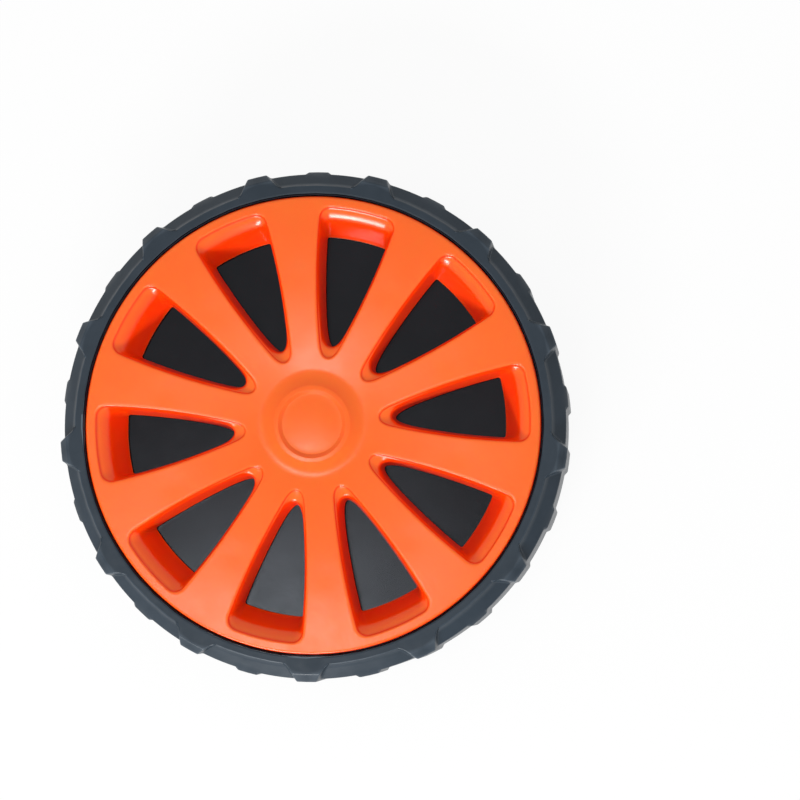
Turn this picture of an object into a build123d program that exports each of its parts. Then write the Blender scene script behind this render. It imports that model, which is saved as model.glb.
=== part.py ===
from build123d import *
from math import cos, radians, sin, tan
import os

# Overall sizes, in millimetres. The wheel lies on its back, with the axle along Z
# and the cover up. The origin is on the axle's axis, in the plane that it lies on.
TYRE_RADIUS = 100.0
TYRE_WIDTH = 45.0

# Tyre
TREAD_RADIUS = 98.8
SIDEWALL_RADIUS = 93.2
TYRE_BORE_RADIUS = 89.7
SHOULDER_STEP = 2.0
SHOULDER_DROP = 5.8
LUGS_PER_ROW = 13
LUG_BASE_HALF_ANGLE = 5.2
LUG_TIP_HALF_ANGLE = 2.15
LUG_BEVEL_RADIUS = 96.8
LUG_BEVEL_DEPTH = 2.7
LUG_END_GAP = 6.0
LUG_ROOT = 1.0
FRONT_LUG_ANGLE = 75.1

# Core
RIM_WALL = 2.7
RIM_REAR_Z = 3.0
RIM_FRONT_Z = 41.5
DISC_TOP_Z = 29.5
DISC_THICKNESS = 2.5
HUB_RADIUS = 19.5
HUB_REAR_Z = 2.0
HUB_FRONT_Z = DISC_TOP_Z
AXLE_CLEARANCE_RADIUS = 11.0
RIB_COUNT = 10
RIB_THICKNESS = 2.2
RIB_HUB_Z = 5.0
RIB_RIM_Z = 10.0

# Flanged ball bearings
BEARING_BORE_RADIUS = 7.5
INNER_RING_RADIUS = 9.25
RUNNING_CLEARANCE = 0.05
SHELL_RADIUS = 14.0
FLANGE_RADIUS = 15.25
FLANGE_THICKNESS = 1.2
BEARING_WIDTH = 7.0

# Cover
COVER_RADIUS = 89.2
COVER_TOP_Z = 44.6
COVER_EDGE_BEVEL = 0.9
COVER_WALL = 2.2
FACE_HUB_Z = 40.6
FACE_HUB_RADIUS = 21.8
FACE_RIM_RADIUS = 86.9
DOME_FOOT_RADIUS = 18.3
DOME_FOOT_Z = 41.0
DOME_CREST_RADIUS = 14.1
DOME_CREST_WIDTH = 1.6
DOME_TOP_Z = 43.2
RECESS_RADIUS = 11.9
RECESS_DEPTH = 0.7
RECESS_CROWN = 0.3

# Windows of the cover. A window's outline is where two large side circles and a circle about
# the axle overlap, with rounded corners. It is wide at the face, narrows to a shoulder below it,
# and from there the walls go down with a draft. The outer wall leans in more than the others.
WINDOW_COUNT = 10
WINDOW_ANGLE = 77.3
WINDOW_BOTTOM_Z = 30.6
SIDE_CENTRE_X = 112.7
SIDE_CENTRE_Y = 245.3
FACE_OUTLINE = dict(outer=84.9, side=262.1, corner=4.2, tip=3.2)
SHOULDER_OUTLINE = dict(outer=80.3, side=261.2, corner=3.4, tip=3.6)
SHOULDER_DEPTH = 4.1
FACE_MARGIN = 0.2
LEDGE_DRAFT = 11.8
WALL_DRAFT = 7.0
WALL_LEAN = 5.3
WINDOW_WALL = 1.8
WALL_SIDE_ANGLE = 12.0

# Snap hooks of the cover, through slots in the core's disc
HOOK_COUNT = 5
HOOK_RADIUS = 61.0
HOOK_THICKNESS = 2.0
HOOK_WIDTH = 8.0
HOOK_BARB = 1.2
HOOK_TAIL = 2.0
SLOT_CLEARANCE = 0.3


def turned(points):
    """Solid of revolution about Z from a closed outline of (radius, height) points."""
    return revolve(Plane.XZ * make_face(Polyline(*points, close=True)), Axis.Z)


def turned_ring(inner, outer, low, high):
    return turned([(inner, low), (outer, low), (outer, high), (inner, high)])


def upright(points, width):
    """Plate along the X axis from a closed outline of (radius, height) points."""
    return extrude(Plane.XZ * make_face(Polyline(*points, close=True)), width / 2, both=True)


def around(solid, count, first_angle=0.0):
    """Evenly spaced copies of a solid about Z."""
    return [Rot(0, 0, first_angle + 360.0 * i / count) * solid for i in range(count)]


# Tyre

def tyre_carcass():
    """The ring under the lugs, with flat sidewalls and sloping shoulders."""
    floor_start = SIDEWALL_RADIUS + SHOULDER_STEP / 2
    front = [
        (TREAD_RADIUS, TYRE_WIDTH - SHOULDER_DROP),
        (floor_start, TYRE_WIDTH - SHOULDER_STEP),
        (SIDEWALL_RADIUS, TYRE_WIDTH),
        (TYRE_BORE_RADIUS, TYRE_WIDTH),
    ]
    rear = [(r, TYRE_WIDTH - z) for r, z in reversed(front)]
    return turned(front + rear)


def front_lug():
    """One lug of the front row, on the X axis: flared towards the hub, with bevelled ends."""
    root = SIDEWALL_RADIUS - LUG_ROOT
    root_half_width = SIDEWALL_RADIUS * sin(radians(LUG_BASE_HALF_ANGLE))
    full_width = 2 * root_half_width
    tip_half_width = TYRE_RADIUS * sin(radians(LUG_TIP_HALF_ANGLE))
    plan = make_face(Polyline(
        (root, root_half_width),
        (SIDEWALL_RADIUS, root_half_width),
        (TYRE_RADIUS, tip_half_width),
        (TYRE_RADIUS, -tip_half_width),
        (SIDEWALL_RADIUS, -root_half_width),
        (root, -root_half_width),
        close=True,
    ))
    side = upright([
        (root, TYRE_WIDTH),
        (LUG_BEVEL_RADIUS, TYRE_WIDTH),
        (TYRE_RADIUS, TYRE_WIDTH - LUG_BEVEL_DEPTH),
        (TYRE_RADIUS, LUG_END_GAP + LUG_BEVEL_DEPTH / 2),
        (TREAD_RADIUS, LUG_END_GAP),
        (root, LUG_END_GAP),
    ], full_width)
    return extrude(plan, TYRE_WIDTH) & side


def make_tyre():
    half_pitch = 180.0 / LUGS_PER_ROW
    lug = front_lug()
    rear_lug = mirror(lug, Plane.XY.offset(TYRE_WIDTH / 2))
    lugs = around(lug, LUGS_PER_ROW, FRONT_LUG_ANGLE)
    lugs += around(rear_lug, LUGS_PER_ROW, FRONT_LUG_ANGLE + half_pitch)
    return tyre_carcass() + lugs


# Core

def core_rib():
    """One rib behind the disc, along the X axis from the hub to the rim."""
    disc_middle = DISC_TOP_Z - DISC_THICKNESS / 2
    rim = TYRE_BORE_RADIUS - RIM_WALL / 2
    hub = HUB_RADIUS - RIM_WALL / 2
    outline = [(hub, RIB_HUB_Z), (rim, RIB_RIM_Z), (rim, disc_middle), (hub, disc_middle)]
    return upright(outline, RIB_THICKNESS)


def hook_slot():
    inner = HOOK_RADIUS - SLOT_CLEARANCE
    outer = HOOK_RADIUS + HOOK_THICKNESS + SLOT_CLEARANCE
    low = DISC_TOP_Z - 2 * DISC_THICKNESS
    outline = [(inner, low), (outer, low), (outer, RIM_FRONT_Z), (inner, RIM_FRONT_Z)]
    return upright(outline, HOOK_WIDTH + 2 * SLOT_CLEARANCE)


def make_core():
    rim_inner = TYRE_BORE_RADIUS - RIM_WALL
    seat_depth = BEARING_WIDTH - FLANGE_THICKNESS
    barrel = turned_ring(rim_inner, TYRE_BORE_RADIUS, RIM_REAR_Z, RIM_FRONT_Z)
    disc = turned_ring(AXLE_CLEARANCE_RADIUS, rim_inner, DISC_TOP_Z - DISC_THICKNESS, DISC_TOP_Z)
    hub = turned_ring(AXLE_CLEARANCE_RADIUS, HUB_RADIUS, HUB_REAR_Z, HUB_FRONT_Z)
    ribs = around(core_rib(), RIB_COUNT, WINDOW_ANGLE)
    rear_seat = turned_ring(0, SHELL_RADIUS, HUB_REAR_Z, HUB_REAR_Z + seat_depth)
    front_seat = turned_ring(0, SHELL_RADIUS, HUB_FRONT_Z - seat_depth, HUB_FRONT_Z)
    slots = around(hook_slot(), HOOK_COUNT, WINDOW_ANGLE + 180.0 / WINDOW_COUNT)
    return barrel + [disc, hub] + ribs - [rear_seat, front_seat] - slots


# Bearings, each drawn with its flange seated on Z = 0 and its body below

def bearing_shell():
    bore = INNER_RING_RADIUS + RUNNING_CLEARANCE
    bottom = FLANGE_THICKNESS - BEARING_WIDTH
    return turned([
        (bore, bottom),
        (SHELL_RADIUS, bottom),
        (SHELL_RADIUS, 0),
        (FLANGE_RADIUS, 0),
        (FLANGE_RADIUS, FLANGE_THICKNESS),
        (bore, FLANGE_THICKNESS),
    ])


def bearing_inner_ring():
    bottom = FLANGE_THICKNESS - BEARING_WIDTH
    return turned_ring(BEARING_BORE_RADIUS, INNER_RING_RADIUS, bottom, FLANGE_THICKNESS)


def at_front(piece):
    return Pos(0, 0, HUB_FRONT_Z) * piece


def at_rear(piece):
    return Pos(0, 0, HUB_REAR_Z) * Rot(180, 0, 0) * piece


# Cover

def window_outline(outer, side, corner, tip):
    """Flat window outline along the X axis, with the narrow tip towards the axle."""
    upper_side = Pos(SIDE_CENTRE_X, -SIDE_CENTRE_Y) * Circle(side)
    lower_side = Pos(SIDE_CENTRE_X, SIDE_CENTRE_Y) * Circle(side)
    face = (upper_side & lower_side & Circle(outer)).face()
    face = fillet(face.vertices().sort_by(Axis.X)[0], tip)
    return fillet(face.vertices().sort_by(Axis.X)[-2:], corner)


def wall_outline(outer, side, corner, tip):
    """Plain tapered outline outside the wall of a window, as it is behind the face."""
    box = window_outline(outer, side, corner, tip).bounding_box()
    low_x = box.min.X - WINDOW_WALL
    high_x = box.max.X + WINDOW_WALL
    slope = tan(radians(WALL_SIDE_ANGLE))
    touch = (side + WINDOW_WALL) / cos(radians(WALL_SIDE_ANGLE)) - SIDE_CENTRE_Y
    low_y = touch - slope * (SIDE_CENTRE_X - low_x)
    high_y = touch - slope * (SIDE_CENTRE_X - high_x)
    corners = [(low_x, low_y), (high_x, high_y), (high_x, -high_y), (low_x, -low_y)]
    return make_face(Polyline(*corners, close=True))


def on_face(outline, depth):
    """Puts an outline on the sloping face of the spokes along X, lowered by a depth."""
    run = FACE_RIM_RADIUS - FACE_HUB_RADIUS
    rise = COVER_TOP_Z - FACE_HUB_Z
    hub_point = (FACE_HUB_RADIUS, 0, FACE_HUB_Z - depth)
    slope = Plane(origin=hub_point, x_dir=(run, 0, rise), z_dir=(-rise, 0, run))
    return slope * Pos(-FACE_HUB_RADIUS, 0, 0) * outline


def outer_wall(grow=0.0):
    """Turned solid inside the outer walls of the windows: a sloping ledge above a leaning wall."""
    shoulder = SHOULDER_OUTLINE["outer"] + grow
    ledge = FACE_OUTLINE["outer"] + grow
    above = COVER_TOP_Z + COVER_WALL
    return turned([
        (0, WINDOW_BOTTOM_Z),
        (shoulder - WALL_LEAN, WINDOW_BOTTOM_Z),
        (shoulder, COVER_TOP_Z - SHOULDER_DEPTH),
        (ledge, COVER_TOP_Z),
        (ledge, above),
        (0, above),
    ])


def drafted(outline, depth):
    """Goes down from the face with a draft, starting at a depth below it."""
    past_the_bottom = TYRE_WIDTH / 2
    return extrude(on_face(outline, depth), -past_the_bottom, taper=WALL_DRAFT)


def window_wall():
    """A window's walls, still filled, from behind the face down to the bottom edge."""
    return drafted(wall_outline(**SHOULDER_OUTLINE), COVER_WALL / 2) & outer_wall(WINDOW_WALL)


def window_space():
    """The space of one window, from above the face to the bottom edge."""
    top = on_face(window_outline(**FACE_OUTLINE), -FACE_MARGIN)
    dish = extrude(top, -SHOULDER_DEPTH - FACE_MARGIN, taper=LEDGE_DRAFT)
    deep = drafted(window_outline(**SHOULDER_OUTLINE), SHOULDER_DEPTH)
    return (deep + [dish, extrude(top, COVER_WALL)]) & outer_wall()


def cover_face():
    """The turned shell of the cover: rim band, sloping face and dome with its recess."""
    recess_z = DOME_TOP_Z - RECESS_DEPTH
    return turned([
        (0, recess_z + RECESS_CROWN),
        (RECESS_RADIUS, recess_z),
        (DOME_CREST_RADIUS - DOME_CREST_WIDTH / 2, DOME_TOP_Z),
        (DOME_CREST_RADIUS + DOME_CREST_WIDTH / 2, DOME_TOP_Z),
        (DOME_FOOT_RADIUS, DOME_FOOT_Z),
        (FACE_HUB_RADIUS, FACE_HUB_Z),
        (FACE_RIM_RADIUS, COVER_TOP_Z),
        (COVER_RADIUS - COVER_EDGE_BEVEL, COVER_TOP_Z),
        (COVER_RADIUS, COVER_TOP_Z - COVER_EDGE_BEVEL),
        (COVER_RADIUS, RIM_FRONT_Z),
        (FACE_RIM_RADIUS, RIM_FRONT_Z),
        (FACE_RIM_RADIUS, COVER_TOP_Z - COVER_WALL),
        (FACE_HUB_RADIUS, FACE_HUB_Z - COVER_WALL),
        (DOME_CREST_RADIUS, DOME_TOP_Z - RECESS_CROWN - COVER_WALL),
        (RECESS_RADIUS, recess_z - COVER_WALL),
        (0, recess_z - COVER_WALL),
    ])


def snap_hook():
    """One hook behind a spoke: a blade through the disc, with a barb under its back face."""
    root_z = FACE_HUB_Z + COVER_WALL / 2
    disc_back = DISC_TOP_Z - DISC_THICKNESS - SLOT_CLEARANCE
    back = HOOK_RADIUS + HOOK_THICKNESS
    return upright([
        (HOOK_RADIUS, root_z),
        (back, root_z),
        (back, disc_back),
        (back + HOOK_BARB, disc_back),
        (back, disc_back - HOOK_TAIL),
        (HOOK_RADIUS, disc_back - HOOK_TAIL),
    ], HOOK_WIDTH)


def make_cover():
    walls = around(window_wall(), WINDOW_COUNT, WINDOW_ANGLE)
    spaces = around(window_space(), WINDOW_COUNT, WINDOW_ANGLE)
    hooks = around(snap_hook(), HOOK_COUNT, WINDOW_ANGLE + 180.0 / WINDOW_COUNT)
    return cover_face() + walls + hooks - spaces


def write(name, solid):
    export_step(solid, f"parts/{name}.step")


os.makedirs("parts", exist_ok=True)
write("tyre", make_tyre())
write("wheel_core", make_core())
write("wheel_cover", make_cover())
write("front_bearing_shell", at_front(bearing_shell()))
write("front_bearing_inner_ring", at_front(bearing_inner_ring()))
write("rear_bearing_shell", at_rear(bearing_shell()))
write("rear_bearing_inner_ring", at_rear(bearing_inner_ring()))
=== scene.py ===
from math import asin, cos, degrees, exp, pi, radians, sin, sqrt, tan

import bpy
from mathutils import Matrix, Vector


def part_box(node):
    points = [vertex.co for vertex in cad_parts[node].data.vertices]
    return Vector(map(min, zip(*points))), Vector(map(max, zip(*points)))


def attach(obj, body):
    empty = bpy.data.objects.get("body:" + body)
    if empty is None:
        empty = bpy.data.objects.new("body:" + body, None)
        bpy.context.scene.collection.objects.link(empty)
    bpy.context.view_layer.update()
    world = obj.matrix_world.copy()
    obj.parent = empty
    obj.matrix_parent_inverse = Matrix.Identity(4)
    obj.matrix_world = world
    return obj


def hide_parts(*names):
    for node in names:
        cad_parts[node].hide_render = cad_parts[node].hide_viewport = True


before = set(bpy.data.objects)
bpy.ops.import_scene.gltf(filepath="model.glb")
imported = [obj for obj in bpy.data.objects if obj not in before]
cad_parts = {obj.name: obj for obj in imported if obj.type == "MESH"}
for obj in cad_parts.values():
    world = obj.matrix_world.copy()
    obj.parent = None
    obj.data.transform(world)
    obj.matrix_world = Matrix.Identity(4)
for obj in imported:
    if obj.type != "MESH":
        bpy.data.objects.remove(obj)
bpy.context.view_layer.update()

MM = 0.001

# Mesh settings, with angles in degrees and the tolerance in radians
WELD_DISTANCE = 0.002
BEVEL_SEGMENTS = 2
BEVEL_ANGLE = 24.0
SHARP_ANGLE = 50.0
STRAIGHT_TOLERANCE = 0.01
CORNER_ROUND_STEPS = 5

# Overall sizes from the frame, in millimetres like every size below
TYRE_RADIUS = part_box("tyre")[1].x / MM
TYRE_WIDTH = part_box("tyre")[1].z / MM
COVER_TOP_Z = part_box("wheel_cover")[1].z / MM

# Tyre
TREAD_RADIUS = 98.8
SIDEWALL_RADIUS = 93.2
SIDEWALL_EDGE = 0.9
TYRE_BORE_RADIUS = 89.7
TYRE_BORE_EDGE = 0.7
TYRE_BORE_DEPTH = 12.0
TREAD_RING_Z = 31.0
SHOULDER_STEP = 2.0
SHOULDER_START_RADIUS = SIDEWALL_RADIUS + SHOULDER_STEP / 2
SHOULDER_DROP = 5.8
LUGS_PER_ROW = 13
LUG_BASE_HALF_ANGLE = 5.2
LUG_TIP_HALF_ANGLE = 2.15
LUG_BEVEL_RADIUS = 96.8
LUG_BEVEL_DEPTH = 2.7
LUG_END_GAP = 6.0
FRONT_LUG_ANGLE = 75.1
FLANK_DRAFT_ANGLE = 0.45
FLANK_HOLLOW = 0.2
FLANK_HOLLOW_POWER = 6
FLANK_RADII = (94.8, 95.6)
GROOVE_STEPS = 5
TYRE_EDGE_ROUND = 0.5

# Core
RIM_WALL = 2.7
RIM_INNER_RADIUS = TYRE_BORE_RADIUS - RIM_WALL
TYRE_SEAT_GAP = 0.05
RIM_REAR_Z = 3.0
RIM_FRONT_Z = 41.5
DISC_TOP_Z = 29.5
DISC_BACK_Z = 27.0
HUB_RADIUS = 19.5
HUB_REAR_Z = 2.0
AXLE_CLEARANCE_RADIUS = 11.0
RIB_THICKNESS = 2.2
RIB_HUB_Z = 5.0
RIB_RIM_Z = 10.0
CORE_EDGE_ROUND = 0.35

# Flanged bearings, each drawn with its flange seated on Z = 0 and its body below
BEARING_BORE_RADIUS = 7.5
INNER_RING_RADIUS = 9.25
SHIELD_BORE_RADIUS = 9.3
SHIELD_RADIUS = 12.1
SHIELD_DEPTH = 0.7
SHIELD_SLOPE = 0.4
SHELL_RADIUS = 14.0
FLANGE_RADIUS = 15.25
FLANGE_THICKNESS = 1.2
BEARING_WIDTH = 7.0
BEARING_SIDES = 128

# Cover
COVER_RADIUS = 89.2
COVER_WALL = 2.2
COVER_EDGE_ROUND = 1.0
BAND_EDGE_ROUND = 0.3
FACE_DROP = 3.0
FACE_HUB_RADIUS = 21.8
FACE_RIM_RADIUS = 86.9
HUB_DISC_RADIUS = 23.6
RIM_BAND_RADIUS = 88.0
DOME_TOP_Z = 42.75
DOME_FOOT_RADIUS = 22.0
DOME_CREST_RADIUS = 14.1
DOME_CREST_REACH = 0.9
DOME_CREST_FALL = 0.12
DOME_CREST_ROUND = 1.5
DOME_FOOT_STEPS = 14
DOME_STEPS = 8
RECESS_RADIUS = 11.8
RECESS_FLOOR_RADIUS = 10.8
RECESS_RIM_ROUND = 0.8
RECESS_FOOT_ROUND = 0.6
RECESS_DEPTH = 0.7
RECESS_EDGE = 0.8
RECESS_CROWN = 0.3
SINK_RADIUS = 59.0
SINK_SPREAD = 4.5
SINK_DEPTH = 0.08
UNDERSIDE_RISE = 0.8
UNDERSIDE_CENTRE_RADIUS = 1.0

# Windows of the cover: outlines at the face, the ledge, the shoulder and the bottom edge
WINDOW_COUNT = 10
WINDOW_ANGLE = 77.3
SECTOR_HALF_ANGLE = 180.0 / WINDOW_COUNT
WINDOW_BOTTOM_Z = 30.6
SIDE_CENTRE = Vector((112.7, -245.3))
FACE_OUTLINE = dict(outer=84.9, side=262.1, corner=4.2, tip=26.6, reach=31.0)
LEDGE_OUTLINE = dict(outer=83.3, side=261.6, corner=3.8, tip=27.6, reach=33.0)
SHOULDER_OUTLINE = dict(outer=80.3, side=261.2, corner=3.4, tip=31.2, reach=37.0)
BOTTOM_OUTLINE = dict(outer=75.0, side=260.1, corner=0.9, tip=31.9, reach=44.0)
REACH_SHIFT = 0.35
WINDOW_EDGE_ROUND = 0.85
SHELF_START_RADIUS = 32.0
SHELF_END_RADIUS = 62.0
LEDGE_DEPTHS = (0.95, 1.4)
SHOULDER_DEPTHS = (1.8, 3.45)
WINDOW_WALL = 1.8
UNDERSIDE_DEPTH = 4.6
LIP_WIDTH = 0.25
LIP_HEIGHT = 0.2

# Snap hooks of the cover, through slots in the core's disc
HOOK_RADIUS = 61.0
HOOK_THICKNESS = 2.0
HOOK_WIDTH = 8.0
HOOK_BARB = 1.2
HOOK_TAIL = 2.0
HOOK_NECK_ROUND = 0.2
HOOK_TIP_ROUND = 0.4
HOOK_ROUND_STEPS = 3
HOOK_SIDE_SHARE = 0.92
HOOK_SIDE_SHRINK = 0.06
SLOT_CLEARANCE = 0.3
SLOT_HALF_WIDTH = HOOK_WIDTH / 2 + SLOT_CLEARANCE
SLOT_HALF_ANGLE = degrees(asin(SLOT_HALF_WIDTH / (HOOK_RADIUS + HOOK_THICKNESS / 2)))
SLOT_INNER_RADIUS = HOOK_RADIUS - SLOT_CLEARANCE
SLOT_OUTER_RADIUS = HOOK_RADIUS + HOOK_THICKNESS + SLOT_CLEARANCE

# Points along each stretch of half a window's outline
TIP_STEPS = 10
SIDE_STEPS = 26
CORNER_STEPS = 8
ARC_STEPS = 10
OUTER_STEPS = CORNER_STEPS // 2 + ARC_STEPS

# Rows of points from a spoke's middle line down a window's wall, as shares of each stretch
FACE_SHARES = (0, 0.25, 0.5, 0.75, 0.92)
EDGE_ANGLES = (0, 25, 50, 75)
LEDGE_TURN = (0.35, 0.35)
SHOULDER_TURN = (0.6, 0.25)
TURN_SHARES = (0, 0.25, 0.5, 0.75, 1)
WALL_SHARES = (0.5, 0.75, 0.97)

# Rings of the core's disc, and the points of each ring from one rib to the next
DISC_RADII = [HUB_RADIUS, 26.0, 36.0, 48.0, SLOT_INNER_RADIUS, SLOT_OUTER_RADIUS, 75.0, RIM_INNER_RADIUS]
CORE_GAP_STEPS = 6
CORE_PITCH_POINTS = 2 * CORE_GAP_STEPS + 3


# Mesh helpers

class Net:
    """Points in millimetres and the faces between them."""

    def __init__(self):
        self.points = []
        self.faces = []

    def add(self, points):
        """Adds points and returns their numbers."""
        start = len(self.points)
        self.points += [tuple(p) for p in points]
        return list(range(start, len(self.points)))

    def strip(self, a, b, wanted=lambda column: True):
        """Quads between two closed rows of the same length, at the columns that are wanted."""
        for i in range(len(a)):
            j = (i + 1) % len(a)
            if wanted(i):
                self.faces.append((a[i], a[j], b[j], b[i]))

    def fan(self, row, centre):
        """Triangles from a closed row to one point."""
        for i in range(len(row)):
            self.faces.append((row[i], row[(i + 1) % len(row)], centre))

    def rings(self, profile, angles, closed=False):
        """Circles about Z through each (radius, height) of a profile, joined by quads."""
        rows = [self.add(polar(r, a, z) for a in angles) for r, z in profile]
        pairs = list(zip(rows, rows[1:]))
        if closed:
            pairs.append((rows[-1], rows[0]))
        for a, b in pairs:
            self.strip(a, b)
        return rows

    def to_object(self, name):
        """Makes the piece, in metres."""
        mesh = bpy.data.meshes.new(name)
        mesh.from_pydata([[MM * c for c in p] for p in self.points], [], self.faces)
        piece = bpy.data.objects.new(name, mesh)
        bpy.context.scene.collection.objects.link(piece)
        clean_up(piece)
        return piece


def clean_up(piece):
    """Welds points that coincide, turns every face outwards and shades smooth."""
    bpy.ops.object.select_all(action="DESELECT")
    bpy.context.view_layer.objects.active = piece
    piece.select_set(True)
    bpy.ops.object.mode_set(mode="EDIT")
    bpy.ops.mesh.select_all(action="SELECT")
    bpy.ops.mesh.remove_doubles(threshold=WELD_DISTANCE * MM)
    bpy.ops.mesh.normals_make_consistent(inside=False)
    bpy.ops.object.mode_set(mode="OBJECT")
    bpy.ops.object.shade_smooth()


def polar(radius, angle, height):
    """Point from a radius, an angle in degrees and a height."""
    a = radians(angle)
    return (radius * cos(a), radius * sin(a), height)


def turn(angles_in_turn, first=0.0):
    """Evenly spaced angles of a full turn, in degrees."""
    return [first + 360.0 * i / angles_in_turn for i in range(angles_in_turn)]


def arc(centre, start, end, steps):
    """Points on an arc from start up to, and without, end."""
    from_centre = start - centre
    sweep = (end - centre).angle_signed(from_centre)
    turns = [Matrix.Rotation(sweep * i / steps, 2) for i in range(steps)]
    return [centre + t @ from_centre for t in turns]


def mix(a, b, share):
    """Row of points part of the way from one row to another."""
    return [p.lerp(q, share) for p, q in zip(a, b)]


def rounded(corners, steps=CORNER_ROUND_STEPS):
    """Points of an open outline of (x, y, rounding) corners."""
    flat = [Vector(c[:2]) for c in corners]
    points = [flat[0]]
    for before, here, after, corner in zip(flat, flat[1:], flat[2:], corners[1:-1]):
        points += round_corner(before, here, after, corner[2], steps)
    return points + [flat[-1]]


def round_corner(before, here, after, rounding, steps):
    """Points that replace one corner by an arc."""
    back = (before - here).normalized()
    ahead = (after - here).normalized()
    half = back.angle(ahead) / 2
    if rounding == 0 or half > pi / 2 - STRAIGHT_TOLERANCE:
        return [here]
    reach = rounding / tan(half)
    centre = here + (back + ahead).normalized() * rounding / sin(half)
    start = here + back * reach
    end = here + ahead * reach
    return arc(centre, start, end, steps) + [end]


def rounded_closed(corners, steps=CORNER_ROUND_STEPS):
    """Points of a closed outline of (x, y, rounding) corners."""
    looped = [corners[-1]] + corners + [corners[0]]
    return rounded(looped, steps)[1:-1]


def bevel(piece, width):
    """Rounds the sharp edges of a piece."""
    edges = piece.modifiers.new("edges", "BEVEL")
    edges.width = width * MM
    edges.segments = BEVEL_SEGMENTS
    edges.limit_method = "ANGLE"
    edges.angle_limit = radians(BEVEL_ANGLE)
    edges.use_clamp_overlap = False
    edges.harden_normals = True


# Tyre

def lug_half_angle(radius):
    """Half the angle that a lug covers at a radius: wide at the sidewall, narrow at its top."""
    share = (TYRE_RADIUS - max(radius, SIDEWALL_RADIUS)) / (TYRE_RADIUS - SIDEWALL_RADIUS)
    hollow = (1 - FLANK_HOLLOW) * share + FLANK_HOLLOW * share ** FLANK_HOLLOW_POWER
    return LUG_TIP_HALF_ANGLE + (LUG_BASE_HALF_ANGLE - LUG_TIP_HALF_ANGLE) * hollow


def lug_bevel_z(radius):
    """Height of a lug's end, which slopes off near its top."""
    share = max(0.0, radius - LUG_BEVEL_RADIUS) / (TYRE_RADIUS - LUG_BEVEL_RADIUS)
    return TYRE_WIDTH - LUG_BEVEL_DEPTH * share


def shoulder_floor_z(radius):
    """Height of the sloping floor between two lugs."""
    share = (radius - SHOULDER_START_RADIUS) / (TREAD_RADIUS - SHOULDER_START_RADIUS)
    return TYRE_WIDTH - SHOULDER_STEP - (SHOULDER_DROP - SHOULDER_STEP) * share


def tyre_rows():
    """Rows from the front bore edge to the middle of the tread. Each has the (radius, height)
    of the carcass, of a lug that starts at this side, and of a lug that ends at this side."""
    return sidewall_rows() + shoulder_rows() + tread_rows()


def sidewall_rows():
    outline = [
        (TYRE_BORE_RADIUS, TYRE_WIDTH - TYRE_BORE_DEPTH),
        (TYRE_BORE_RADIUS, TYRE_WIDTH - TYRE_BORE_EDGE),
        (TYRE_BORE_RADIUS + TYRE_BORE_EDGE, TYRE_WIDTH),
        (SIDEWALL_RADIUS - SIDEWALL_EDGE, TYRE_WIDTH),
        (SIDEWALL_RADIUS, TYRE_WIDTH),
    ]
    return [(point, point, point) for point in outline]


def shoulder_rows():
    rows = []
    for radius in (SHOULDER_START_RADIUS, *FLANK_RADII, LUG_BEVEL_RADIUS, TREAD_RADIUS):
        floor = (radius, shoulder_floor_z(radius))
        rows.append((floor, (radius, lug_bevel_z(radius)), floor))
    return rows


def tread_rows():
    bevel_z = TYRE_WIDTH - LUG_BEVEL_DEPTH
    end_z = TYRE_WIDTH - LUG_END_GAP - LUG_BEVEL_DEPTH / 2
    rows = [((TREAD_RADIUS, end_z), (TYRE_RADIUS, bevel_z), (TYRE_RADIUS, end_z))]
    for z in (TREAD_RING_Z, TYRE_WIDTH / 2):
        rows.append(((TREAD_RADIUS, z), (TYRE_RADIUS, z), (TYRE_RADIUS, z)))
    return rows


def both_sides(front_rows):
    """Adds the rear half, where the two rows of lugs change places."""
    rear = []
    for carcass, near, far in reversed(front_rows[:-1]):
        flipped = [(r, TYRE_WIDTH - z) for r, z in (carcass, far, near)]
        rear.append(tuple(flipped))
    return front_rows + rear


def lug_columns(centre, carcass, lug):
    """Points across one lug: foot and top of one flank, middle, top and foot of the other."""
    top = lug_half_angle(lug[0])
    foot = lug_half_angle(carcass[0]) + FLANK_DRAFT_ANGLE
    across = [(-foot, carcass), (-top, lug), (0, lug), (top, lug), (foot, carcass)]
    return [(centre + a, p) for a, p in across]


def groove(left, right):
    """Points on the carcass between two lugs."""
    start, point = left
    sweep = right[0] - start
    return [(start + sweep * i / GROOVE_STEPS, point) for i in range(1, GROOVE_STEPS)]


def tyre_row(carcass, front_lug, rear_lug):
    """All points of one row round the tyre."""
    half_pitch = 180.0 / LUGS_PER_ROW
    columns = []
    for i in range(LUGS_PER_ROW):
        centre = FRONT_LUG_ANGLE + 2 * half_pitch * i
        near = lug_columns(centre, carcass, front_lug)
        far = lug_columns(centre + half_pitch, carcass, rear_lug)
        following = lug_columns(centre + 2 * half_pitch, carcass, front_lug)
        columns += near + groove(near[-1], far[0])
        columns += far + groove(far[-1], following[0])
    return [polar(r, a, z) for a, (r, z) in columns]


def make_tyre():
    net = Net()
    rows = [net.add(tyre_row(*row)) for row in both_sides(tyre_rows())]
    for a, b in zip(rows, rows[1:] + rows[:1]):
        net.strip(a, b)
    piece = net.to_object("tyre_tread")
    bevel(piece, TYRE_EDGE_ROUND)
    return piece


# Core

def core_angles(radius):
    """Angles of the core's points at a radius: both sides of each rib, and the slots between."""
    rib = degrees(asin(RIB_THICKNESS / 2 / radius))
    slot_start = SECTOR_HALF_ANGLE - SLOT_HALF_ANGLE
    gap = [rib + (slot_start - rib) * i / CORE_GAP_STEPS for i in range(CORE_GAP_STEPS + 1)]
    rising = gap + [SECTOR_HALF_ANGLE]
    falling = [2 * SECTOR_HALF_ANGLE - a for a in reversed(gap)]
    pitch = rising + falling
    return [WINDOW_ANGLE + 2 * SECTOR_HALF_ANGLE * k + a for k in range(WINDOW_COUNT) for a in pitch]


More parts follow.
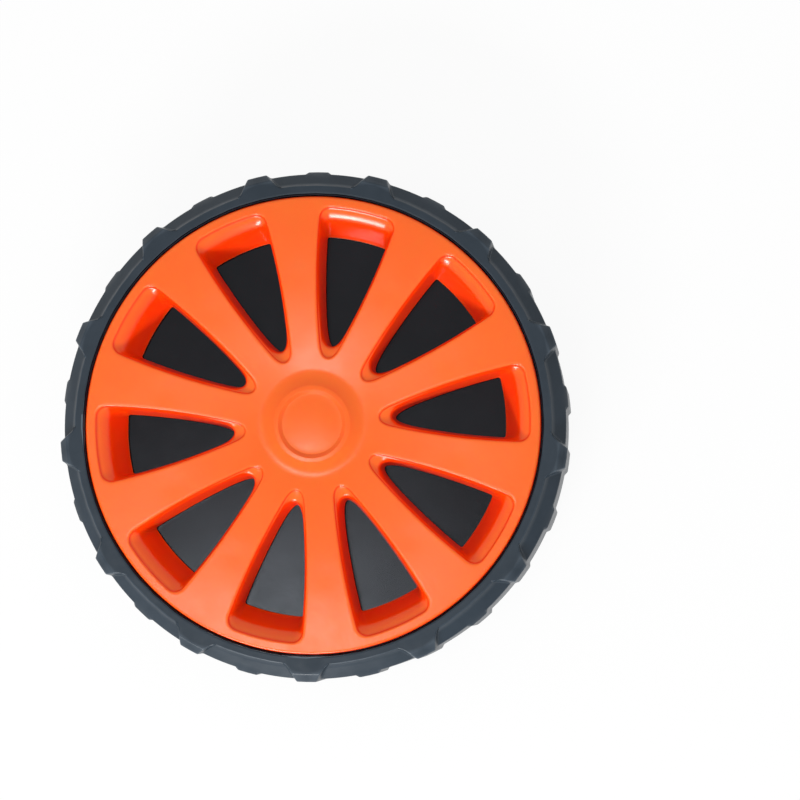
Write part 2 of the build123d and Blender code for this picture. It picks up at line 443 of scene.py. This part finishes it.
def is_rib(column):
    """True for the strip from a rib's near side to its far side."""
    return column % CORE_PITCH_POINTS == CORE_PITCH_POINTS - 1


def between_ribs(column):
    """True for every other strip."""
    return not is_rib(column)


def is_slot(column):
    """True for the two strips of a slot, which is in every second spoke."""
    pitch, place = divmod(column, CORE_PITCH_POINTS)
    return pitch % 2 == 0 and place in (CORE_GAP_STEPS, CORE_GAP_STEPS + 1)


def core_ring(net, radius, height):
    """Adds one ring of the core's points."""
    return net.add(polar(radius, a, height) for a in core_angles(radius))


def join_rings(net, first, outline, last):
    """Turned surface from one ring of the core along an outline to another ring."""
    rows = [first] + [core_ring(net, r, z) for r, z in outline] + [last]
    for a, b in zip(rows, rows[1:]):
        net.strip(a, b)


def make_core():
    net = Net()
    back = [core_ring(net, r, DISC_BACK_Z) for r in DISC_RADII]
    front = [core_ring(net, r, DISC_TOP_Z) for r in DISC_RADII]
    disc_faces(net, back, front)
    rim_foot = core_ring(net, RIM_INNER_RADIUS, RIB_RIM_Z)
    hub_foot = core_ring(net, HUB_RADIUS, RIB_HUB_Z)
    net.strip(back[-1], rim_foot, between_ribs)
    net.strip(back[0], hub_foot, between_ribs)
    for column in filter(is_rib, range(len(hub_foot))):
        rib_faces(net, column, back, hub_foot, rim_foot)
    rim_faces(net, rim_foot, front[-1])
    hub_faces(net, hub_foot, front[0])
    piece = net.to_object("core_moulding")
    bevel(piece, CORE_EDGE_ROUND)
    return piece


def disc_faces(net, back, front):
    """Both faces of the disc, with the slots for the hooks cut through it."""
    for row in range(len(DISC_RADII) - 1):
        cut = DISC_RADII[row] == SLOT_INNER_RADIUS
        net.strip(front[row], front[row + 1], lambda i: not (cut and is_slot(i)))
        net.strip(back[row], back[row + 1], lambda i: between_ribs(i) and not (cut and is_slot(i)))
        if cut:
            slot_walls(net, back[row], back[row + 1], front[row], front[row + 1])


def slot_walls(net, back_in, back_out, front_in, front_out):
    """The four walls of every slot."""
    for i in filter(is_slot, range(len(back_in))):
        net.faces.append((back_in[i], back_in[i + 1], front_in[i + 1], front_in[i]))
        net.faces.append((back_out[i], back_out[i + 1], front_out[i + 1], front_out[i]))
        end = i if not is_slot(i - 1) else i + 1
        net.faces.append((back_in[end], back_out[end], front_out[end], front_in[end]))


def rib_faces(net, column, back, hub_foot, rim_foot):
    """Top and both sides of one rib, from the hub to the rim."""
    sides = (column, (column + 1) % len(hub_foot))
    tops = [[hub_foot[s] for s in sides]]
    for radius in DISC_RADII[1:-1]:
        share = (radius - HUB_RADIUS) / (RIM_INNER_RADIUS - HUB_RADIUS)
        z = RIB_HUB_Z + (RIB_RIM_Z - RIB_HUB_Z) * share
        angles = core_angles(radius)
        tops.append(net.add(polar(radius, angles[s], z) for s in sides))
    tops.append([rim_foot[s] for s in sides])
    for row, (near, far) in enumerate(zip(tops, tops[1:])):
        net.faces.append((near[0], near[1], far[1], far[0]))
        for k, s in enumerate(sides):
            net.faces.append((back[row][s], back[row + 1][s], far[k], near[k]))


def rim_faces(net, rim_foot, front_edge):
    """The barrel under the tyre, from the ribs' ends round to the front of the disc."""
    seat = TYRE_BORE_RADIUS - TYRE_SEAT_GAP
    outline = [
        (RIM_INNER_RADIUS, RIM_REAR_Z),
        (seat, RIM_REAR_Z),
        (seat, RIM_FRONT_Z),
        (RIM_INNER_RADIUS, RIM_FRONT_Z),
    ]
    join_rings(net, rim_foot, outline, front_edge)


def hub_faces(net, hub_foot, front_edge):
    """The hub's rear end, both bearing seats and the way between them."""
    seat_depth = BEARING_WIDTH - FLANGE_THICKNESS
    rear_seat_z = HUB_REAR_Z + seat_depth
    front_seat_z = DISC_TOP_Z - seat_depth
    outline = [
        (HUB_RADIUS, HUB_REAR_Z),
        (SHELL_RADIUS, HUB_REAR_Z),
        (SHELL_RADIUS, rear_seat_z),
        (AXLE_CLEARANCE_RADIUS, rear_seat_z),
        (AXLE_CLEARANCE_RADIUS, front_seat_z),
        (SHELL_RADIUS, front_seat_z),
        (SHELL_RADIUS, DISC_TOP_Z),
    ]
    join_rings(net, hub_foot, outline, front_edge)


# Bearings

def shell_outline():
    """Pressed shell with a rolled flange and a sunk shield round the inner ring."""
    bottom = FLANGE_THICKNESS - BEARING_WIDTH
    shield = FLANGE_THICKNESS - SHIELD_DEPTH
    return rounded_closed([
        (SHIELD_BORE_RADIUS, bottom + SHIELD_DEPTH, 0.15),
        (SHIELD_RADIUS, bottom + SHIELD_DEPTH, 0.3),
        (SHIELD_RADIUS + SHIELD_SLOPE, bottom, 0.4),
        (SHELL_RADIUS, bottom, 0.9),
        (SHELL_RADIUS, 0, 0.2),
        (FLANGE_RADIUS, 0, 0.35),
        (FLANGE_RADIUS, FLANGE_THICKNESS, 0.5),
        (SHIELD_RADIUS + SHIELD_SLOPE, FLANGE_THICKNESS, 0.45),
        (SHIELD_RADIUS, shield, 0.3),
        (SHIELD_BORE_RADIUS, shield, 0.15),
    ])


def inner_ring_outline():
    """Plain ring with broken edges, which turns on the axle."""
    bottom = FLANGE_THICKNESS - BEARING_WIDTH
    return rounded_closed([
        (BEARING_BORE_RADIUS, bottom, 0.45),
        (INNER_RING_RADIUS, bottom, 0.25),
        (INNER_RING_RADIUS, FLANGE_THICKNESS, 0.25),
        (BEARING_BORE_RADIUS, FLANGE_THICKNESS, 0.45),
    ])


def turned_piece(name, outline, place):
    """Ring with an outline, put at one end of the hub."""
    net = Net()
    net.rings([place(p) for p in outline], turn(BEARING_SIDES), closed=True)
    return net.to_object(name)


def at_front(point):
    return (point.x, DISC_TOP_Z + point.y)


def at_rear(point):
    return (point.x, HUB_REAR_Z - point.y)


# Cover

def window_half(outer, side, corner, tip, reach):
    """Half a window's flat outline, from its tip on the X axis to the middle of its outer arc."""
    side_start = side_point(side, reach)
    corner_centre = circles_meet(SIDE_CENTRE, side - corner, outer - corner)
    side_end = SIDE_CENTRE + (corner_centre - SIDE_CENTRE).normalized() * side
    corner_end = corner_centre.normalized() * outer
    middle = Vector((outer, 0))
    points = tip_curve(tip, side_start)
    points += arc(SIDE_CENTRE, side_start, side_end, SIDE_STEPS)
    points += arc(corner_centre, side_end, corner_end, CORNER_STEPS)
    return points + arc(Vector((0, 0)), corner_end, middle, ARC_STEPS) + [middle]


def side_point(side, x):
    """Point of the side circle at a distance along the window."""
    return Vector((x, SIDE_CENTRE.y + sqrt(side ** 2 - (SIDE_CENTRE.x - x) ** 2)))


def tip_curve(tip, side_start):
    """Rounded tip: a curve from the X axis that runs into the side without a kink."""
    slope = (SIDE_CENTRE.x - side_start.x) / (side_start.y - SIDE_CENTRE.y)
    start = Vector((tip, 0))
    pull = Vector((tip, side_start.y - slope * (side_start.x - tip)))
    shares = [i / TIP_STEPS for i in range(TIP_STEPS)]
    return [start.lerp(pull, t).lerp(pull.lerp(side_start, t), t) for t in shares]


def circles_meet(centre, radius, axle_radius):
    """Upper point where a circle meets a circle about the axle."""
    along = (centre.length_squared + axle_radius ** 2 - radius ** 2) / (2 * centre.length)
    across = sqrt(axle_radius ** 2 - along ** 2)
    direction = centre.normalized()
    return direction * along + direction.orthogonal() * across


def offset(outline, distance):
    """The sizes of an outline that lies outside another by a distance."""
    grown = {name: outline[name] + distance for name in ("outer", "side", "corner")}
    return dict(grown, tip=outline["tip"] - distance, reach=outline["reach"] - REACH_SHIFT * distance)


def face_z(radius):
    """Height of the spokes' face: a shallow dish that is level at the rim."""
    share = max(0.0, FACE_RIM_RADIUS - radius) / (FACE_RIM_RADIUS - FACE_HUB_RADIUS)
    return COVER_TOP_Z - FACE_DROP * share ** 2


def sunk(flat_points, depth):
    """Puts flat points on the face, lowered by a depth."""
    return [Vector((p.x, p.y, face_z(p.length) - depth)) for p in flat_points]


def shelved(flat_points, hub_depth, rim_depth):
    """Puts flat points below the face, by one depth near the hub and another near the rim."""
    points = []
    for p in flat_points:
        share = (p.length - SHELF_START_RADIUS) / (SHELF_END_RADIUS - SHELF_START_RADIUS)
        share = min(1.0, max(0.0, share))
        points += sunk([p], hub_depth + (rim_depth - hub_depth) * share)
    return points


def level(flat_points, height):
    """Puts flat points at one height."""
    return [Vector((p.x, p.y, height)) for p in flat_points]


def sector_edge(hub_radius, rim_radius):
    """Half the edge of a window's sector: hub arc, spoke's middle line and rim arc."""
    points = [(hub_radius, SECTOR_HALF_ANGLE * i / TIP_STEPS) for i in range(TIP_STEPS)]
    side_steps = SIDE_STEPS + CORNER_STEPS // 2
    run = rim_radius - hub_radius
    points += [(hub_radius + run * i / side_steps, SECTOR_HALF_ANGLE) for i in range(side_steps)]
    points += [(rim_radius, SECTOR_HALF_ANGLE * (1 - i / OUTER_STEPS)) for i in range(OUTER_STEPS + 1)]
    return [Vector(polar(r, a, 0)[:2]) for r, a in points]


def window_rows():
    """Rows of points of half a window's sector, from the spoke's middle line over the edge,
    down the wall, round the bottom edge and back behind the face."""
    edge = sunk(window_half(**FACE_OUTLINE), WINDOW_EDGE_ROUND)
    ledge = shelved(window_half(**LEDGE_OUTLINE), *LEDGE_DEPTHS)
    shoulder = shelved(window_half(**SHOULDER_OUTLINE), *SHOULDER_DEPTHS)
    bottom = level(window_half(**BOTTOM_OUTLINE), WINDOW_BOTTOM_Z)
    return face_rows() + edge_rows() + wall_rows(edge, ledge, shoulder, bottom) + back_rows()


def face_rows():
    """The face from the sector's edge to the rounding of the window."""
    rim = sector_edge(HUB_DISC_RADIUS, RIM_BAND_RADIUS)
    window = window_half(**offset(FACE_OUTLINE, WINDOW_EDGE_ROUND))
    rows = [sunk(mix(rim, window, share), 0) for share in FACE_SHARES]
    return [[p - Vector((0, 0, sink_mark(p))) for p in row] for row in rows]


def sink_mark(point):
    """Depth of the faint hollow that each spoke has over the moulding behind it."""
    middle = Vector(polar(SINK_RADIUS, SECTOR_HALF_ANGLE, 0)[:2])
    return SINK_DEPTH * exp(-((point.xy - middle).length / SINK_SPREAD) ** 2)


def edge_rows():
    """The rounded edge between the face and a window."""
    rows = []
    for angle in EDGE_ANGLES:
        distance = WINDOW_EDGE_ROUND * (1 - sin(radians(angle)))
        depth = WINDOW_EDGE_ROUND * (1 - cos(radians(angle)))
        rows.append(sunk(window_half(**offset(FACE_OUTLINE, distance)), depth))
    return rows


def wall_rows(edge, ledge, shoulder, bottom):
    """The sloping ledge, the rounded shoulder and the steep wall of a window."""
    rows = soft_turn(edge, ledge, shoulder, *LEDGE_TURN)
    rows += soft_turn(ledge, shoulder, bottom, *SHOULDER_TURN)
    rows += [mix(shoulder, bottom, share) for share in WALL_SHARES]
    raised = [p + Vector((0, 0, LIP_HEIGHT)) for p in bottom]
    lip = level(window_half(**offset(BOTTOM_OUTLINE, LIP_WIDTH)), WINDOW_BOTTOM_Z)
    return rows + [raised, lip]


def soft_turn(before, corner, after, start_share, end_share):
    """Rows along a curve that replaces the turn at one row by a rounding."""
    start = mix(before, corner, start_share)
    end = mix(corner, after, end_share)
    return [mix(mix(start, corner, t), mix(corner, end, t), t) for t in TURN_SHARES]


def back_rows():
    """The back of the wall and of the face, hidden inside the wheel."""
    foot = level(window_half(**offset(BOTTOM_OUTLINE, WINDOW_WALL)), WINDOW_BOTTOM_Z)
    head = sunk(window_half(**offset(SHOULDER_OUTLINE, WINDOW_WALL)), UNDERSIDE_DEPTH)
    rim = sunk(sector_edge(HUB_DISC_RADIUS, FACE_RIM_RADIUS), COVER_WALL)
    return [foot, mix(foot, head, 0.5), head, mix(head, rim, 0.5), rim]


def full_loop(half, angle):
    """Mirrors half a row into a closed loop and turns it to a window's angle."""
    mirrored = [Vector((p.x, -p.y, p.z)) for p in reversed(half[1:-1])]
    place = Matrix.Rotation(radians(angle), 3, "Z")
    return [place @ p for p in half + mirrored]


def dome_profile():
    """The dome in the middle, from the spokes to the shallow recess at its centre."""
    recess_z = DOME_TOP_Z - RECESS_DEPTH
    wall = rounded(dome_foot() + [
        (DOME_CREST_RADIUS + DOME_CREST_REACH, DOME_TOP_Z - DOME_CREST_FALL, DOME_CREST_ROUND),
        (DOME_CREST_RADIUS - RECESS_EDGE, DOME_TOP_Z, RECESS_RIM_ROUND),
        (RECESS_RADIUS, recess_z, RECESS_FOOT_ROUND),
        (RECESS_FLOOR_RADIUS, recess_z, 0),
    ], DOME_STEPS)
    shares = [1 - i / DOME_STEPS for i in range(1, DOME_STEPS)]
    floor = [Vector((RECESS_FLOOR_RADIUS * s, recess_z + RECESS_CROWN * (1 - s * s))) for s in shares]
    return wall + floor


def dome_foot():
    """The spokes' dish at the hub and the hollow curve in which it turns up to the dome."""
    start = face_z(DOME_FOOT_RADIUS)
    tilt = (face_z(HUB_DISC_RADIUS) - start) / (HUB_DISC_RADIUS - DOME_FOOT_RADIUS)
    whole = DOME_FOOT_RADIUS - DOME_CREST_RADIUS - DOME_CREST_REACH
    bend = (DOME_TOP_Z - DOME_CREST_FALL - start + tilt * whole) / whole ** 2
    inward = [whole * i / DOME_FOOT_STEPS for i in range(DOME_FOOT_STEPS)]
    curve = [(DOME_FOOT_RADIUS - u, start - tilt * u + bend * u * u, 0) for u in inward]
    return [(HUB_DISC_RADIUS, face_z(HUB_DISC_RADIUS), 0)] + curve


def rim_profile():
    """The cover's rounded outer edge and the band behind it."""
    return rounded([
        (RIM_BAND_RADIUS, COVER_TOP_Z, 0),
        (COVER_RADIUS, COVER_TOP_Z, COVER_EDGE_ROUND),
        (COVER_RADIUS, RIM_FRONT_Z, BAND_EDGE_ROUND),
        (FACE_RIM_RADIUS, RIM_FRONT_Z, BAND_EDGE_ROUND),
        (FACE_RIM_RADIUS, face_z(FACE_RIM_RADIUS) - COVER_WALL, 0),
    ])


def hub_underside():
    """The back of the dome, hidden inside the wheel."""
    edge_z = face_z(HUB_DISC_RADIUS) - COVER_WALL
    top_z = edge_z + UNDERSIDE_RISE
    return [(HUB_DISC_RADIUS, edge_z), (DOME_CREST_RADIUS, top_z), (UNDERSIDE_CENTRE_RADIUS, top_z)]


def closed_disc(net, profile, angles):
    """Turned surface that closes at the axle."""
    rows = net.rings(profile, angles)
    centre = net.add([(0, 0, profile[-1][1])])
    net.fan(rows[-1], centre[0])


def hook_outline():
    """Side view of a hook: a blade through the disc, with a barb under its back face."""
    back = HOOK_RADIUS + HOOK_THICKNESS
    catch = DISC_BACK_Z - SLOT_CLEARANCE
    root = face_z(HOOK_RADIUS) - COVER_WALL / 2
    return rounded_closed([
        (HOOK_RADIUS, root, 0),
        (back, root, 0),
        (back, catch, HOOK_NECK_ROUND),
        (back + HOOK_BARB, catch, HOOK_TIP_ROUND),
        (back, catch - HOOK_TAIL, HOOK_TIP_ROUND),
        (HOOK_RADIUS, catch - HOOK_TAIL, HOOK_TIP_ROUND),
    ], HOOK_ROUND_STEPS)


def add_hook(net, angle):
    """One hook behind a spoke, with its two sides drawn in at their edges."""
    outline = hook_outline()
    middle = sum(outline, Vector((0, 0))) / len(outline)
    narrow = [p.lerp(middle, HOOK_SIDE_SHRINK) for p in outline]
    place = Matrix.Rotation(radians(angle), 3, "Z")
    sides = []
    for y, ring in ((-1, narrow), (-HOOK_SIDE_SHARE, outline), (HOOK_SIDE_SHARE, outline), (1, narrow)):
        sides.append(net.add(place @ Vector((p.x, y * HOOK_WIDTH / 2, p.y)) for p in ring))
    for a, b in zip(sides, sides[1:]):
        net.strip(a, b)
    net.faces += [tuple(sides[0]), tuple(sides[-1])]


def add_window(net, rows, angle):
    """One window with its share of the face, at an angle."""
    loops = [net.add(full_loop(row, angle)) for row in rows]
    for a, b in zip(loops, loops[1:]):
        net.strip(a, b)


def make_cover():
    net = Net()
    rows = window_rows()
    for k in range(WINDOW_COUNT):
        add_window(net, rows, WINDOW_ANGLE + 2 * SECTOR_HALF_ANGLE * k)
    hub_angles = turn(2 * TIP_STEPS * WINDOW_COUNT, WINDOW_ANGLE)
    rim_angles = turn(2 * OUTER_STEPS * WINDOW_COUNT, WINDOW_ANGLE)
    closed_disc(net, dome_profile(), hub_angles)
    closed_disc(net, hub_underside(), hub_angles)
    net.rings(rim_profile(), rim_angles)
    for k in range(0, WINDOW_COUNT, 2):
        add_hook(net, WINDOW_ANGLE + SECTOR_HALF_ANGLE * (2 * k + 1))
    piece = net.to_object("cover_moulding")
    piece.data.set_sharp_from_angle(angle=radians(SHARP_ANGLE))
    return piece


# Materials, with object coordinates in metres

class Shader:
    """One material's nodes round a Principled shader."""

    def __init__(self, name):
        self.material = bpy.data.materials.new(name)
        self.material.use_nodes = True
        self.nodes = self.material.node_tree.nodes
        self.links = self.material.node_tree.links
        self.shader = self.nodes["Principled BSDF"]
        self.coordinates = self.nodes.new("ShaderNodeTexCoord")
        self.place = self.coordinates.outputs["Object"]

    def node(self, kind, inputs=None, **settings):
        """New node with its inputs, by name, and its settings."""
        made = self.nodes.new(kind)
        for name, value in settings.items():
            setattr(made, name, value)
        for name, value in (inputs or {}).items():
            self.feed(made.inputs[name], value)
        return made

    def feed(self, socket, value):
        """Links a socket to another, or sets its value."""
        if isinstance(value, bpy.types.NodeSocket):
            self.links.new(value, socket)
        else:
            socket.default_value = value

    def set(self, **values):
        """Feeds the shader's inputs, whose names have spaces for the underscores here."""
        for name, value in values.items():
            self.feed(self.shader.inputs[name.replace("_", " ")], value)

    def noise(self, size, detail=3.0, roughness=0.5):
        """Noise with features of about a size in millimetres."""
        made = self.node("ShaderNodeTexNoise", {
            "Vector": self.place, "Scale": 1 / (size * MM), "Detail": detail, "Roughness": roughness,
        })
        return made.outputs["Fac"]

    def cells(self, size):
        """Cell pattern with cells of about a size in millimetres."""
        made = self.node("ShaderNodeTexVoronoi", {"Vector": self.place, "Scale": 1 / (size * MM)})
        return made.outputs["Distance"]

    def spread(self, value, low=0, high=1, start=0.3, end=0.7):
        """Maps a noise value between start and end to a range."""
        made = self.node("ShaderNodeMapRange", {
            "Value": value, "From Min": start, "From Max": end, "To Min": low, "To Max": high,
        })
        return made.outputs["Result"]

    def blend(self, share, a, b):
        """Colour between two colours."""
        made = self.node("ShaderNodeMix", data_type="RGBA")
        self.feed(made.inputs["Factor"], share)
        self.feed(made.inputs["A"], a)
        self.feed(made.inputs["B"], b)
        return made.outputs["Result"]

    def facing(self, start, end):
        """0 on steep walls to 1 on faces that look along the axle."""
        normal = self.node("ShaderNodeSeparateXYZ", {"Vector": self.coordinates.outputs["Normal"]})
        return self.spread(normal.outputs["Z"], start=start, end=end)

    def edges(self, start, end):
        """0 on open faces to 1 on sharp outer edges, for a painted highlight."""
        shape = self.nodes.new("ShaderNodeNewGeometry")
        return self.spread(shape.outputs["Pointiness"], start=start, end=end)

    def math(self, operation, *values):
        """Result of an operation on two values."""
        made = self.node("ShaderNodeMath", operation=operation)
        for socket, value in zip(made.inputs, values):
            self.feed(socket, value)
        return made.outputs[0]

    def bump(self, height, depth, before=None):
        """Bump with a depth in millimetres."""
        made = self.node("ShaderNodeBump", {"Height": height, "Distance": depth * MM})
        if before is not None:
            self.links.new(before, made.inputs["Normal"])
        return made.outputs["Normal"]


def linear(value):
    """Linear share of light for a colour value from 0 to 255."""
    share = value / 255
    return share / 12.92 if share <= 0.04045 else ((share + 0.055) / 1.055) ** 2.4


def colour(red, green, blue):
    """Linear colour from the usual 0 to 255 values."""
    return (linear(red), linear(green), linear(blue), 1.0)


def cover_plastic():
    """Glossy orange moulding with a faint flow pattern, a fine orange peel, and steep walls painted a
    deeper red as painted shade.
    """
    s = Shader("cover_plastic")
    flow = s.spread(s.noise(45, detail=2))
    face = s.blend(flow, colour(255, 106, 12), colour(254, 101, 10))
    # Painted shade: steep window walls get a deeper red than the open faces, by how far their normal
    # turns from the axle.
    s.set(Base_Color=s.blend(s.facing(0.62, 0.97), colour(255, 62, 3), face))
    s.set(Roughness=s.spread(s.noise(9, detail=4), low=0.19, high=0.26))
    s.set(Subsurface_Weight=0.45, Subsurface_Radius=(1.0, 0.08, 0.02), Subsurface_Scale=3 * MM)
    peel = s.bump(s.noise(1.6, detail=2), depth=0.02)
    s.set(Normal=s.bump(s.noise(0.25, detail=2), depth=0.003, before=peel))
    return s.material


def tyre_rubber():
    """Slate-grey moulded tyre with a fine satin grain, dusty patches and pale edges painted as
    highlights.
    """
    s = Shader("tyre_rubber")
    dust = s.spread(s.noise(14, detail=5, roughness=0.6), start=0.35, end=0.75)
    dusty = s.blend(dust, colour(29, 42, 53), colour(38, 50, 61))
    # Painted highlight: the sharp outer edges get a pale grey in place of the light they catch.
    s.set(Base_Color=s.blend(s.edges(0.522, 0.575), dusty, colour(88, 99, 110)))
    s.set(Roughness=s.spread(s.noise(5, detail=4), low=0.33, high=0.43), Specular_IOR_Level=0.38)
    waves = s.bump(s.noise(3.0, detail=2), depth=0.03)
    s.set(Normal=s.bump(s.noise(0.3), depth=0.012, before=waves))
    return s.material


def core_plastic():
    """Black moulding with a spark-eroded grain."""
    s = Shader("core_plastic")
    patch = s.spread(s.noise(20, detail=4))
    s.set(Base_Color=s.blend(patch, colour(12, 11, 14), colour(18, 16, 20)))
    s.set(Roughness=s.spread(s.noise(7), low=0.15, high=0.19), Specular_IOR_Level=0.31)
    s.set(Specular_Tint=(0.82, 0.9, 1.0, 1.0))
    grain = s.bump(s.cells(0.55), depth=0.016)
    s.set(Normal=s.bump(s.noise(0.35), depth=0.012, before=grain))
    return s.material


def bearing_steel():
    """Bright zinc-plated steel with fine turning lines."""
    s = Shader("bearing_steel")
    tint = s.spread(s.noise(4, detail=4))
    s.set(Base_Color=s.blend(tint, colour(205, 208, 212), colour(186, 190, 196)), Metallic=1.0)
    s.set(Roughness=s.spread(s.noise(2.5, detail=4), low=0.2, high=0.34))
    lines = {"Vector": s.place, "Scale": 900.0, "Distortion": 0.4}
    rings = s.node("ShaderNodeTexWave", lines, wave_type="RINGS", rings_direction="Z")
    s.set(Normal=s.bump(rings.outputs["Fac"], depth=0.004))
    return s.material


def floor_white():
    """White floor that shows as white to the camera and in reflections, and keeps the shadow."""
    s = Shader("floor_white")
    s.set(Base_Color=(0.86, 0.86, 0.86, 1.0), Roughness=0.9)
    path = s.node("ShaderNodeLightPath")
    seen = s.math("MAXIMUM", path.outputs["Is Camera Ray"], path.outputs["Is Glossy Ray"])
    seen = s.math("MAXIMUM", seen, path.outputs["Is Transmission Ray"])
    glow = s.node("ShaderNodeEmission", {"Color": (1, 1, 1, 1), "Strength": 1.0})
    mixed = s.node("ShaderNodeMixShader", {"Fac": s.math("MULTIPLY", seen, FLOOR_GLOW_SHARE)})
    s.links.new(s.shader.outputs["BSDF"], mixed.inputs[1])
    s.links.new(glow.outputs["Emission"], mixed.inputs[2])
    s.links.new(mixed.outputs["Shader"], s.nodes["Material Output"].inputs["Surface"])
    return s.material


# Pieces

def dress(piece, body, node, material):
    """Gives a piece its material, its body and the node that it shows in place of."""
    piece.data.materials.append(material)
    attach(piece, body)
    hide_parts(node)


dress(make_tyre(), "wheel", "tyre", tyre_rubber())
dress(make_core(), "wheel", "wheel_core", core_plastic())
dress(make_cover(), "wheel", "wheel_cover", cover_plastic())
steel = bearing_steel()
for end, place in (("front", at_front), ("rear", at_rear)):
    shell = turned_piece(f"{end}_bearing_pressing", shell_outline(), place)
    dress(shell, "wheel", f"{end}_bearing_shell", steel)
    ring = turned_piece(f"{end}_bearing_race", inner_ring_outline(), place)
    dress(ring, f"{end}_inner_ring", f"{end}_bearing_inner_ring", steel)


# Floor, light and camera, with lamps in metres and watts and the camera's turns in radians

FLOOR_HALF = 3000.0
FLOOR_DROP = 0.2
FLOOR_GLOW_SHARE = 0.92
WORLD_STRENGTH = 0.66
CAMERA_PITCH = -0.0773
CAMERA_YAW = -0.0969
CAMERA_OFFSET = Vector((-30.20, -12.58, -975.8)) * MM
CAMERA_LENS = 108.0
CAMERA_SENSOR = 36.0


def add_floor():
    """Large square just below the wheel."""
    net = Net()
    signs = ((-1, -1), (1, -1), (1, 1), (-1, 1))
    corners = net.add([(x * FLOOR_HALF, y * FLOOR_HALF, 0) for x, y in signs])
    net.faces.append(tuple(corners))
    floor = net.to_object("floor")
    floor.location.z = -FLOOR_DROP * MM
    floor.data.materials.append(floor_white())


def add_lamp(name, place, width, height, power):
    """Soft rectangular lamp that points at the wheel."""
    data = bpy.data.lights.new(name, "AREA")
    data.shape = "RECTANGLE"
    data.size = width
    data.size_y = height
    data.energy = power
    lamp = bpy.data.objects.new(name, data)
    bpy.context.scene.collection.objects.link(lamp)
    lamp.location = place
    lamp.rotation_euler = (-Vector(place)).to_track_quat("-Z", "Y").to_euler()


def add_world():
    """Even white surround: white to the camera, and a plain level of light on the object."""
    world = bpy.data.worlds.new("studio")
    bpy.context.scene.world = world
    world.use_nodes = True
    nodes = world.node_tree.nodes
    links = world.node_tree.links
    path = nodes.new("ShaderNodeLightPath")
    strength = nodes.new("ShaderNodeMapRange")
    strength.inputs["To Min"].default_value = WORLD_STRENGTH
    strength.inputs["To Max"].default_value = 1.0
    links.new(path.outputs["Is Camera Ray"], strength.inputs["Value"])
    background = nodes["Background"]
    background.inputs["Color"].default_value = (1, 1, 1, 1)
    links.new(strength.outputs["Result"], background.inputs["Strength"])


def add_camera():
    """Camera almost straight above the cover."""
    data = bpy.data.cameras.new("camera")
    data.lens = CAMERA_LENS
    data.sensor_width = CAMERA_SENSOR
    camera = bpy.data.objects.new("camera", data)
    bpy.context.scene.collection.objects.link(camera)
    to_camera = Matrix.Rotation(CAMERA_PITCH, 3, "X") @ Matrix.Rotation(CAMERA_YAW, 3, "Y")
    to_world = to_camera.transposed()
    camera.matrix_world = Matrix.Translation(to_world @ -CAMERA_OFFSET) @ to_world.to_4x4()
    bpy.context.scene.camera = camera


add_floor()
add_world()
add_lamp("key", (-0.28, -0.98, 0.60), width=0.66, height=0.18, power=12.0)
add_lamp("sheen", (-0.24, -0.125, 1.4), width=0.14, height=0.26, power=1.15)
add_camera()
bpy.context.scene.view_settings.view_transform = "Standard"
